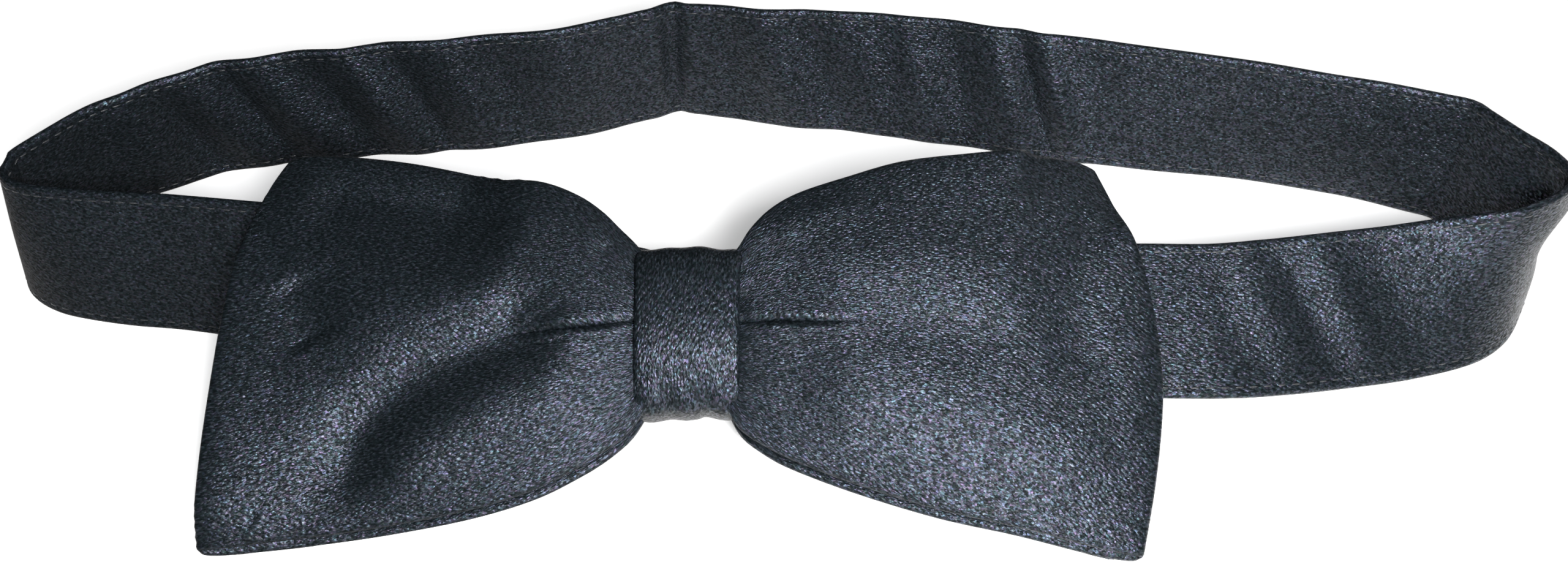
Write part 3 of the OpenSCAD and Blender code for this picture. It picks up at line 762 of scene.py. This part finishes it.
def loop_depths(uv, a, t, folds, pleat, crown, belly):
    """Depths w of the front and rear plies. Each swells from its edges as
    (sin(pi t) sin(pi a^0.75))^0.8, and near the knot both close in. Folds broader than BROAD_FOLD
    bend both plies. The front alone has the narrower ones, the gathers at its root and the pleat
    beside the knot, a groove that gapes at its middle."""
    u, v = uv[..., 0], uv[..., 1]
    a, t = a[:, None], t[None, :]
    swell = np.sin(math.pi * t) ** 0.8 * np.sin(math.pi * np.clip(a, 0, 1) ** 0.75) ** 0.8
    edges = smooth(t / 0.14) * smooth((1 - t) / 0.14) * (1 - a ** 14)
    root = (1 - a) ** 6
    front = 0.4 + crown * swell + 0.7 * root
    bend = np.zeros_like(front)
    for path, width, height in folds:
        if width > BROAD_FOLD:
            bend = bend + soft_fold(u, v, path, width, height)
        else:
            front = front + edges * soft_fold(u, v, path, width, height)
    gathers = np.sin(t * 11.0 * math.pi + 0.6) * np.exp(-(a / 0.09) ** 2)
    front = front + 0.22 * gathers * smooth(t / 0.1) * smooth((1 - t) / 0.1)
    line = even_spline(pleat, np.linspace(0, 1, 97))
    d2 = (u[..., None] - line[:, 0]) ** 2 + (v[..., None] - line[:, 1]) ** 2
    f = np.argmin(d2, axis=-1) / 96.0
    side = v - line[np.argmin(d2, axis=-1)][..., 1]
    d = np.sqrt(np.min(d2, axis=-1))
    mouth = smooth(f / 0.45) * smooth((0.75 - f) / 0.35)
    groove = -(0.35 * (1 - smooth((f - 0.6) / 0.4)) + 1.5 * mouth) * np.exp(-(d / 0.42) ** 2)
    lip = (0.30 * smooth(f / 0.2) * (1 - smooth((f - 0.55) / 0.45))
           * np.exp(-(d / 2.6) ** 2) * np.where(side > 0, 1.0, 0.45))
    front = front + groove + lip
    rear = -1.7 - belly * swell - 2.6 * root + 0.35 * np.sin(u / 7.0) * swell
    return front + bend, rear + bend


def loop_grid(outline, folds, pleat, settings, columns, rows, inset=0.0, reach=1.0):
    """Middle surface of a loop in the row frame, from the front ply's root round the outer fold
    to the rear ply's root. The two plies close as sqrt(1 - a^8) towards the fold."""
    s = np.linspace(0, 2, 2 * columns + 1)
    a = np.sin(np.minimum(s, 2 - s) * math.pi / 2) * reach
    pleat_t = 0.49
    t = np.linspace(0, 1, rows)
    t = t + 0.62 * (pleat_t - t) * np.exp(-((t - pleat_t) / 0.22) ** 2) * 0.9
    t = t * (1 - 2 * inset) + inset
    order = np.argsort(a)
    uv = np.empty((len(a), rows, 2))
    uv[order] = loop_plan(outline, a[order], t)
    front, rear = loop_depths(uv, a, t, folds, pleat, settings.crown / MM, settings.belly / MM)
    centre = (front + rear) / 2
    half = (front - rear) / 2 * np.sqrt(np.maximum(1 - a ** 8, 0))[:, None]
    side = np.where(s <= 1, 1.0, -1.0)[:, None]
    w = centre + side * half
    # The rear ply is cut a little deeper, so that its lower edge shows under the front one.
    drop = (np.where(s > 1, 0.9, 0.0) * smooth(a / 0.2))[:, None] * (1 - smooth(t / 0.3))[None, :]
    uv[..., 1] -= drop * (1 - (np.minimum(s, 2 - s)[:, None]) ** 10)
    points = from_bow(np.stack([uv[..., 0], uv[..., 1], w], axis=-1))
    lift = settings.satin / MM / 2 + 0.05
    points[..., 2] = np.maximum(points[..., 2], lift)
    return points


def loop_plan(outline, a, t):
    """Place in u and v of the points a outwards (0 to 1, rising) and t upwards (0 to 1): the ruled
    surface between the lower and upper edges, shifted so that its end follows the outer edge."""
    low = even_spline(outline["bottom"], a)
    high = even_spline(outline["top"], a)
    corner_low = np.asarray(outline["bottom"][-1], float)
    corner_high = np.asarray(outline["top"][-1], float)
    end = even_spline(outline["outer"], t)
    chord = (1 - t)[:, None] * corner_low + t[:, None] * corner_high
    return ((1 - t)[None, :, None] * low[:, None] + t[None, :, None] * high[:, None]
            + (a ** 3)[:, None, None] * (end - chord)[None])


class BuildLoops(bpy.types.Operator):
    """Build the two satin loops of the bow and the interlining in them"""

    bl_idname = "bowtie.build_loops"
    bl_label = "Bow loops"

    def execute(self, context):
        settings = context.scene.bow_tie.bow
        sides = [("left", LEFT_OUTLINE, LEFT_FOLDS, LEFT_PLEAT, -18.6, -30.0),
                 ("right", RIGHT_OUTLINE, RIGHT_FOLDS, RIGHT_PLEAT, -6.6, 4.8)]
        for name, outline, folds, pleat, start, end in sides:
            centre = loop_grid(outline, folds, pleat, settings, columns=96, rows=92)
            half = settings.satin / MM / 2
            satin = make_piece(name + "_satin_loop", *strip_shell(centre, half, edge_steps=3),
                               bpy.data.materials["bow_satin"])
            inner = loop_grid(outline, folds, pleat, settings, columns=30, rows=30, inset=0.035,
                              reach=0.985)
            across = unit(np.cross(np.gradient(inner, axis=0), np.gradient(inner, axis=1)))
            inward = -1.0 if name == "right" else 1.0
            inner = inner + inward * across * (half + 0.25)
            lining = make_piece(name + "_loop_lining", *strip_shell(inner, half=0.18, edge_steps=1),
                                bpy.data.materials["interlining_canvas"])
            for piece in (satin, lining):
                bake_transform(piece)
            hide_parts(name + "_loop")
            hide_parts(name + "_loop_interlining")
            hems = self.build_hem() if name == "right" else []
        return {"FINISHED"}

    def build_hem(self):
        """The seam allowance that shows under the right loop's lower corner: 3 thin strips along
        the lower edge, from one fraction of its length to another. Each lies 0.5 mm further back
        and its edge 0.45 mm further down than the one before, opening towards the corner."""
        hems = []
        for number, (first, last) in enumerate(((0.66, 0.955), (0.74, 0.945), (0.83, 0.935))):
            f = np.linspace(first, last, 40)
            edge = even_spline(RIGHT_OUTLINE["bottom"], f)
            inward = np.linspace(0, 1, 9)
            opening = smooth((f - first) / 0.12)[:, None]
            low = (0.75 + 0.45 * number) * opening * (0.7 + 0.3 * smooth((f - 0.8) / 0.1))[:, None]
            uv_v = edge[:, 1][:, None] - low + 5.0 * inward[None, :]
            uv_u = edge[:, 0][:, None] + 0.6 * inward[None, :]
            w = -1.15 - 0.5 * number - 0.15 * inward[None, :] + np.zeros_like(uv_v)
            points = from_bow(np.stack([uv_u, uv_v, w], axis=-1))
            points[..., 2] = np.maximum(points[..., 2], 0.3)
            hem = make_piece(f"right_hem_{number + 1}",
                             *strip_shell(points, half=0.17, edge_steps=2),
                             bpy.data.materials["bow_satin"])
            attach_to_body(hem, "right_wing")
            hems.append(hem)
        return hems


# ---------------------------------------------------------------- the knot

KNOT_U = -12.5
# Middle of the gathered waist in v and w.
WAIST_V, WAIST_W = 26.0, -2.75


def knot_ring(width, grow, columns, rows):
    """Middle surface of the satin round the knot: the closed knot section, grown by grow, carried
    over width. Its sides draw in by a parabola, and small pleats run round it."""
    f = np.arange(rows) / rows
    section = closed_spline(KNOT_SECTION, f)
    ahead = closed_spline(KNOT_SECTION, (f + 0.002) % 1.0)
    behind = closed_spline(KNOT_SECTION, (f - 0.002) % 1.0)
    tangent = unit(ahead - behind)
    outward = np.stack([-tangent[:, 1], tangent[:, 0]], axis=1)
    u = np.linspace(-1, 1, columns)
    front = np.exp(-((section[:, 1] - 4.0) / 5.0) ** 2)[:, None]
    top = np.exp(-((section[:, 0] - 37.5) / 3.6) ** 2)[:, None]
    bottom = np.exp(-((section[:, 0] - 14.8) / 3.2) ** 2)[:, None]
    barrel = -0.35 * u[None, :] ** 4 * front
    pleats = (0.30 * np.exp(-((u - 0.05) / 0.34) ** 2)
              - 0.10 * np.cos(u * 9.0 + 0.7))[None, :] * top
    ripple = (0.28 * np.exp(-((u + 0.75) / 0.5) ** 2) - 0.22 * np.exp(-((u - 0.28) / 0.2) ** 2)
              + 0.14 * np.cos(u * 8.0))[None, :] * bottom
    seam = 0.10 * np.exp(-((u - 0.16) / 0.05) ** 2)[None, :] * bottom
    out = grow + barrel + pleats + ripple + seam
    points = section[:, None, :] + outward[:, None, :] * out[..., None]
    flare = 1.0 + 0.05 * top[:, 0] + 0.03 * bottom[:, 0]
    across = KNOT_U + u[None, :] * (width / 2) * flare[:, None]
    return from_bow(np.stack([across, points[..., 0], points[..., 1]], axis=-1))


class BuildKnot(bpy.types.Operator):
    """Build the satin wrap of the knot, its interlining, the gathered waist and the thread"""

    bl_idname = "bowtie.build_knot"
    bl_label = "Knot"

    def execute(self, context):
        settings = context.scene.bow_tie.bow
        width = settings.knot_length / MM
        wrap = make_piece("knot_satin_wrap",
                          *strip_shell(knot_ring(width - 1.0, -0.5, columns=40, rows=150),
                                       half=0.5, edge_steps=4, closed=True),
                          bpy.data.materials["bow_satin"])
        lining = make_piece("knot_lining",
                            *strip_shell(knot_ring(width - 2 * LINING_MARGIN, -1.4, columns=9,
                                                   rows=80),
                                         half=0.25, edge_steps=1, closed=True),
                            bpy.data.materials["interlining_canvas"])
        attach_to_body(wrap, "bow")
        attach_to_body(lining, "bow")
        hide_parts("knot_wrap")
        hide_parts("knot_interlining")
        self.build_waist()
        self.build_thread()
        return {"FINISHED"}

    def build_waist(self):
        """The gathered waist: a soft oval carried along u, its skin pleated as cos(14 angle), more
        at its ends than under the thread."""
        angle = np.linspace(0, 2 * math.pi, 97)[:-1]
        u = np.linspace(-6, 6, 25)
        pinch = 1 - 0.10 * np.exp(-(u / 2.2) ** 2)
        pleat = (0.25 + 0.03 * np.abs(u))[:, None] * np.cos(14 * angle)[None, :]
        v = WAIST_V + (7.4 * pinch[:, None] + pleat) * np.cos(angle)[None, :]
        w = WAIST_W + (4.5 * pinch[:, None] + pleat) * np.sin(angle)[None, :]
        uu = np.broadcast_to((KNOT_U + u)[:, None], v.shape)
        points = from_bow(np.stack([uu, v, w], axis=-1))
        k, n = len(angle), len(u)
        i, j = np.meshgrid(np.arange(n - 1), np.arange(k), indexing="ij")
        i, j = i.ravel(), j.ravel()
        quads = np.stack([i * k + j, (i + 1) * k + j, (i + 1) * k + (j + 1) % k,
                          i * k + (j + 1) % k], axis=1)
        run = np.stack([u[i], angle[j] * 6], axis=1)
        corners = np.repeat(run[:, None], 4, axis=1).reshape(-1, 2)
        faces = quads[:, ::-1].tolist()
        caps = [list(range(k)), [(n - 1) * k + x for x in reversed(range(k))]]
        corners = np.concatenate([corners, np.zeros((2 * k, 2))])
        waist = make_piece("gathered_waist", points.reshape(-1, 3), faces + caps, corners,
                           bpy.data.materials["bow_satin"])
        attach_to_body(waist, "bow")
        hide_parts("bow_waist")

    def build_thread(self):
        """The gathering thread: a tube along a flat spiral of 5 turns round the waist."""
        turns, per_turn, sides = 5, 40, 6
        s = np.linspace(0, turns, turns * per_turn + 1)
        angle = 2 * math.pi * s
        half_v, half_w = 7.35, 4.6
        line = np.stack([KNOT_U - 1.6 + 3.2 * s / turns, WAIST_V + half_v * np.cos(angle),
                         WAIST_W + half_w * np.sin(angle)], axis=1)
        tangent = unit(np.gradient(line, axis=0))
        out = unit(np.stack([np.zeros_like(s), np.cos(angle) / half_v, np.sin(angle) / half_w],
                            axis=1))
        side = np.cross(tangent, out)
        ring = np.linspace(0, 2 * math.pi, sides + 1)[:-1]
        radius = 0.22
        body = (line[:, None] + radius * (out[:, None] * np.cos(ring)[None, :, None]
                                          + side[:, None] * np.sin(ring)[None, :, None]))
        n = len(s)
        i, j = np.meshgrid(np.arange(n - 1), np.arange(sides), indexing="ij")
        i, j = i.ravel(), j.ravel()
        quads = np.stack([i * sides + j, i * sides + (j + 1) % sides,
                          (i + 1) * sides + (j + 1) % sides, (i + 1) * sides + j], axis=1)
        faces = quads[:, ::-1].tolist()
        faces += [list(range(sides)), [(n - 1) * sides + x for x in reversed(range(sides))]]
        thread = make_piece("gathering_thread", from_bow(body).reshape(-1, 3), faces, None,
                            bpy.data.materials["sewing_thread"])
        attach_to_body(thread, "bow")
        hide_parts("gather_thread")


# ---------------------------------------------------------------- clasp, tab and tail

def folded_path(bar_u, end_u, layers):
    """Middle line in u and w of a band folded over a bar at bar_u: the front layer from end_u to
    the bar, a half circle of the fold radius, and the back layer out to end_u again."""
    way = 1.0 if end_u > bar_u else -1.0
    turn = np.linspace(0, math.pi, 15)
    arc = np.stack([bar_u - way * FOLD_R * np.sin(turn), -FOLD_R + FOLD_R * np.cos(turn)], axis=1)
    back = np.stack([np.linspace(bar_u, end_u, 12)[1:], np.full(11, -2 * FOLD_R)], axis=1)
    if layers == 1:
        return np.concatenate([arc, back])
    front = np.stack([np.linspace(end_u, bar_u, 12)[:-1], np.zeros(11)], axis=1)
    return np.concatenate([front, arc, back])


def across_path(path, width, rows):
    """Middle surface of a band that follows a path in u and w, its width along v."""
    v = np.linspace(-0.5, 0.5, rows) * width + BAND_V
    grid = np.empty((len(path), rows, 3))
    grid[..., 0] = path[:, 0][:, None]
    grid[..., 1] = v[None, :]
    grid[..., 2] = path[:, 1][:, None] + BAND_W
    return from_bow(grid)


class BuildClasp(bpy.types.Operator):
    """Build the folded tab and tail and give the metal clasp and slider their plating"""

    bl_idname = "bowtie.build_clasp"
    bl_label = "Clasp, tab and tail"

    def execute(self, context):
        band = context.scene.bow_tie.band
        satin = bpy.data.materials["band_satin"]
        canvas = bpy.data.materials["interlining_canvas"]
        half = band.thickness / MM / 2
        width = band.width / MM
        tab_width = 20.0
        tab = make_piece("eye_tab_satin",
                         *strip_shell(across_path(folded_path(0.0, SEAM_U, 2),
                                                  tab_width - 2 * half, 17), half), satin)
        lining_width = tab_width - 2 * LINING_MARGIN
        tab_lining = make_piece("eye_tab_lining",
                                *strip_shell(across_path(folded_path(0.0, SEAM_U + 0.4, 2),
                                                         lining_width, 5),
                                             half=0.15, edge_steps=1), canvas)
        tail_line = folded_path(HOOK_U, SLIDER_U - 2.6, 1)
        loop_r = 1.05
        turn = np.linspace(0, 1.15 * math.pi, 16)
        climb = np.stack([np.linspace(SLIDER_U - 2.2, SLIDER_U - 0.4, 5),
                          -2 * FOLD_R + loop_r * smooth(np.linspace(0.15, 0.98, 5))], axis=1)
        loop = np.stack([SLIDER_U + loop_r * np.sin(turn), -2 * FOLD_R + loop_r * np.cos(turn)],
                        axis=1)
        tail_path = np.concatenate([tail_line, climb, loop])
        tail = make_piece("band_tail",
                          *strip_shell(across_path(tail_path, width - 2 * half, 17), half * 0.85),
                          satin)
        tail_lining = make_piece("band_tail_lining",
                                 *strip_shell(across_path(folded_path(HOOK_U, SLIDER_U - 3.0, 1),
                                                          width - 2 * LINING_MARGIN, 5),
                                              half=0.15, edge_steps=1), canvas)
        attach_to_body(tab, "bow")
        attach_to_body(tab_lining, "bow")
        bend = ("x", HOOK_U + 3.0, SLIDER_U - 3.0)
        attach(tail, ["front_right_band", "slider"], bend)
        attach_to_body(tail_lining, "front_right_band")
        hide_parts("eye_tab")
        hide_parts("eye_tab_interlining")
        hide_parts("strap_tail", "tail_end_loop")
        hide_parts("strap_tail_interlining")
        for node in ("slider_frame", "hook", "eye"):
            metal = frame["nodes"][node]
            metal.data.materials.clear()
            metal.data.materials.append(bpy.data.materials["nickel_plate"])
        tab_back = BAND_W - 2 * FOLD_R - half
        self.sew("knot_sewing", "knot_back_stitches", "bow", (-11.4, -9.0), tab_back, 8.4)
        self.sew("tab_sewing", "eye_tab_stitches", "bow", (-2.2,), tab_back, 8.4)
        self.sew("tail_sewing", "tail_stitches", "slider", (SLIDER_U,), BAND_W - 2 * FOLD_R - 1.5,
                 9.6)
        return {"FINISHED"}

    def sew(self, name, node, body, rows, w, half_width):
        """Rows of 1.5 mm stitches across the band's back, one every 1.6 mm of v, at depth w."""
        v = np.arange(-half_width, half_width + 0.01, 1.6) + BAND_V
        uu, vv = np.meshgrid(rows, v, indexing="ij")
        places = from_bow(np.stack([uu.ravel(), vv.ravel(), np.full(uu.size, w + 0.05)], axis=1))
        ways = np.broadcast_to(U_AXIS, places.shape)
        sides = np.broadcast_to(-W_AXIS, places.shape)
        points, faces = stitches_mesh(places, ways, sides, length=1.5, radius=0.2)
        thread = make_piece(name, points, faces, None, bpy.data.materials["sewing_thread"])
        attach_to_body(thread, body)
        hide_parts(node)


# ---------------------------------------------------------------- materials and stage

class MakeMaterials(bpy.types.Operator):
    """Make the satin, interlining, thread and metal finishes"""

    bl_idname = "bowtie.make_materials"
    bl_label = "Materials"

    def execute(self, context):
        colours = context.scene.bow_tie.colours
        satin_material("bow_satin", colours)
        satin_material("band_satin", colours)
        canvas_material(colours)
        thread_material(colours)
        nickel_material(colours)
        return {"FINISHED"}


# The lamps: name, place in metres, side of the square in metres and power in watts.
LAMPS = (
    ("key_light", (0.06, -0.26, 0.24), 0.08, 3.15),
    ("low_light", (0.12, -0.42, 0.07), 0.12, 0.8),
    ("fill_light", (0.6, 0.6, 0.8), 0.9, 3.0),
)


class SetStage(bpy.types.Operator):
    """Set the pale floor, the soft lights and the camera"""

    bl_idname = "bowtie.set_stage"
    bl_label = "Stage"

    def execute(self, context):
        scene = context.scene
        scene.view_settings.view_transform = "Standard"
        size = 3.0
        mesh = bpy.data.meshes.new("floor")
        corners = [(-size, -size, 0), (size, -size, 0), (size, size, 0), (-size, size, 0)]
        mesh.from_pydata(corners, [], [(0, 1, 2, 3)])
        floor = bpy.data.objects.new("floor", mesh)
        scene.collection.objects.link(floor)
        mesh.materials.append(floor_material(scene.bow_tie.colours))

        world = bpy.data.worlds.new("room")
        scene.world = world
        world.use_nodes = True
        background = world.node_tree.nodes["Background"]
        background.inputs["Color"].default_value = (0.95, 0.97, 1.0, 1.0)
        background.inputs["Strength"].default_value = 0.05

        for lamp in LAMPS:
            self.add_lamp(*lamp)

        # The camera stands 160 mm in front of the tie's middle and looks down at 45 degrees.
        camera_data = bpy.data.cameras.new("camera")
        camera_data.sensor_width = 36.0
        camera_data.lens = 35.16
        camera_data.clip_start = 0.01
        camera = bpy.data.objects.new("camera", camera_data)
        camera.location = (CENTRE_X * MM, (-160.0 + CENTRE_Y) * MM, 0.163)
        camera.rotation_euler = (math.radians(45.0), 0.0, 0.0)
        scene.collection.objects.link(camera)
        scene.camera = camera
        return {"FINISHED"}

    def add_lamp(self, name, place, size, power):
        """A square lamp at place, aimed at the object's middle."""
        data = bpy.data.lights.new(name, "AREA")
        data.size = size
        data.energy = power
        lamp = bpy.data.objects.new(name, data)
        lamp.location = place
        aim = Vector((0, 0, 0.01)) - Vector(place)
        lamp.rotation_euler = aim.to_track_quat("-Z", "Y").to_euler()
        bpy.context.scene.collection.objects.link(lamp)


class BowTiePanel(bpy.types.Panel):
    """Sizes, colours and the steps that build the bow tie"""

    bl_idname = "VIEW3D_PT_bow_tie"
    bl_label = "Bow Tie"
    bl_space_type = "VIEW_3D"
    bl_region_type = "UI"
    bl_category = "Bow Tie"

    def draw(self, context):
        settings = context.scene.bow_tie
        for group, names in ((settings.band, ("width", "thickness", "stitch_pitch")),
                             (settings.bow, ("satin", "crown", "belly", "knot_length")),
                             (settings.colours, ("satin", "painted_glint", "canvas", "thread",
                                                 "nickel", "floor"))):
            for name in names:
                self.layout.prop(group, name)
        for operator in OPERATORS:
            self.layout.operator(operator.bl_idname)


OPERATORS = (MakeMaterials, BuildBand, BuildLoops, BuildKnot, BuildClasp, SetStage)
CLASSES = (BandSettings, BowSettings, ColourSettings, BowTieSettings, *OPERATORS, BowTiePanel)


def register():
    for cls in CLASSES:
        bpy.utils.register_class(cls)
    bpy.types.Scene.bow_tie = PointerProperty(type=BowTieSettings)


def unregister():
    del bpy.types.Scene.bow_tie
    for cls in reversed(CLASSES):
        bpy.utils.unregister_class(cls)


def main():
    register()
    bpy.ops.bowtie.make_materials()
    bpy.ops.bowtie.build_band()
    bpy.ops.bowtie.build_loops()
    bpy.ops.bowtie.build_knot()
    bpy.ops.bowtie.build_clasp()
    bpy.ops.bowtie.set_stage()


if __name__ == "__main__":
    main()
